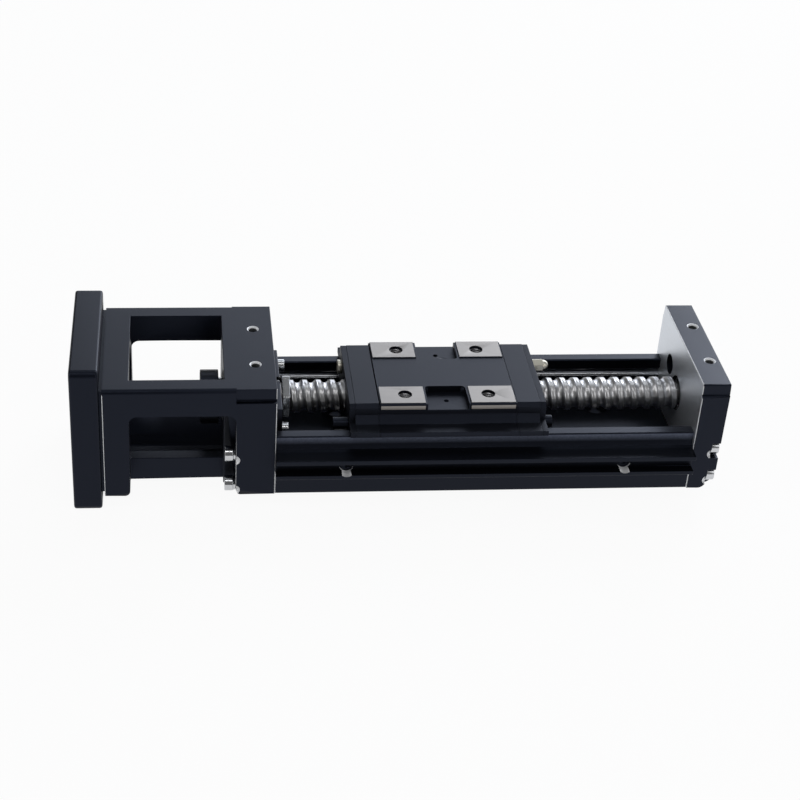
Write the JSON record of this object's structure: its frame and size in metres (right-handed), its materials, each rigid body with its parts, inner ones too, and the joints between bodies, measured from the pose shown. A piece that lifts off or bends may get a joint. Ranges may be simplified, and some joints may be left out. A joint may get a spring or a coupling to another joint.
{
  "type": "ball screw linear module",
  "caption": "Compact linear module with a U-shaped guide rail, screw-driven carriage, open coupling housing and motor adapter plate.",
  "frame": {"origin": "middle of the rail's four mounting holes, on the base plane", "axes": "+X along the screw from the motor plate to the end block, +Z out of the carriage's mounting face"},
  "size_m": [0.2313, 0.068, 0.058],
  "materials": {
    "black_anodised": "black anodised, fine blasted",
    "black_steel": "black surface treated, ground running faces",
    "black_oxide": "black oxide",
    "plated_steel": "bright zinc",
    "ground_steel": "polished, lightly oiled",
    "bearing_ball": "lapped",
    "black_plastic": "moulded",
    "seal_rubber": "moulded on a thin plate",
    "nickel": "nickel plated"
  },
  "bodies": {
    "base": {"rail": "black_steel", "motor_plate": "black_anodised", "plate_screws": "plated_steel", "housing": "black_anodised", "housing_screws": "plated_steel", "support_outer_rings": "ground_steel", "bearing_retainer": "black_oxide", "retainer_screws": "plated_steel", "end_block": "black_anodised", "end_screws": "plated_steel", "far_outer_ring": "ground_steel", "far_snap_ring": "black_oxide"},
    "screw": {"ball_screw": "ground_steel", "support_inner_rings": "ground_steel", "bearing_spacer": "ground_steel", "lock_nut": "black_oxide", "lock_set_screw": "black_oxide", "stop_collar": "plated_steel", "far_inner_ring": "ground_steel"},
    "carriage": {"carriage_block": "black_steel", "end_cap_motor": "black_plastic", "end_cap_far": "black_plastic", "seal_motor": "seal_rubber", "seal_far": "seal_rubber", "cap_screws_motor": "black_oxide", "cap_screws_far": "black_oxide", "grease_nipple": "nickel", "grease_plug": "nickel", "raceway_balls": "bearing_ball", "nut_balls": "bearing_ball"},
    "support_ball_set": {"support_balls": "bearing_ball"},
    "far_ball_set": {"far_balls": "bearing_ball"}
  },
  "joints": [
    {"name": "carriage_slide", "type": "slide", "parent": "base", "child": "carriage", "axis": [1, 0, 0], "range_m": [-0.014, 0.046]},
    {"name": "screw_spin", "type": "hinge", "parent": "base", "child": "screw", "pos_m": [0, 0, 0.0228], "axis": [1, 0, 0], "range_deg": [-3320, 1015]},
    {"name": "support_balls_spin", "type": "hinge", "parent": "base", "child": "support_ball_set", "pos_m": [0, 0, 0.0228], "axis": [1, 0, 0], "range_deg": [-1360, 420]},
    {"name": "far_balls_spin", "type": "hinge", "parent": "base", "child": "far_ball_set", "pos_m": [0, 0, 0.0228], "axis": [1, 0, 0], "range_deg": [-1390, 430]}
  ],
  "couplings": [
    {"joint": "screw_spin", "follows": "carriage_slide", "rad_per_m": -1256.6},
    {"joint": "support_balls_spin", "follows": "carriage_slide", "rad_per_m": -514.47},
    {"joint": "far_balls_spin", "follows": "carriage_slide", "rad_per_m": -523.64}
  ]
}
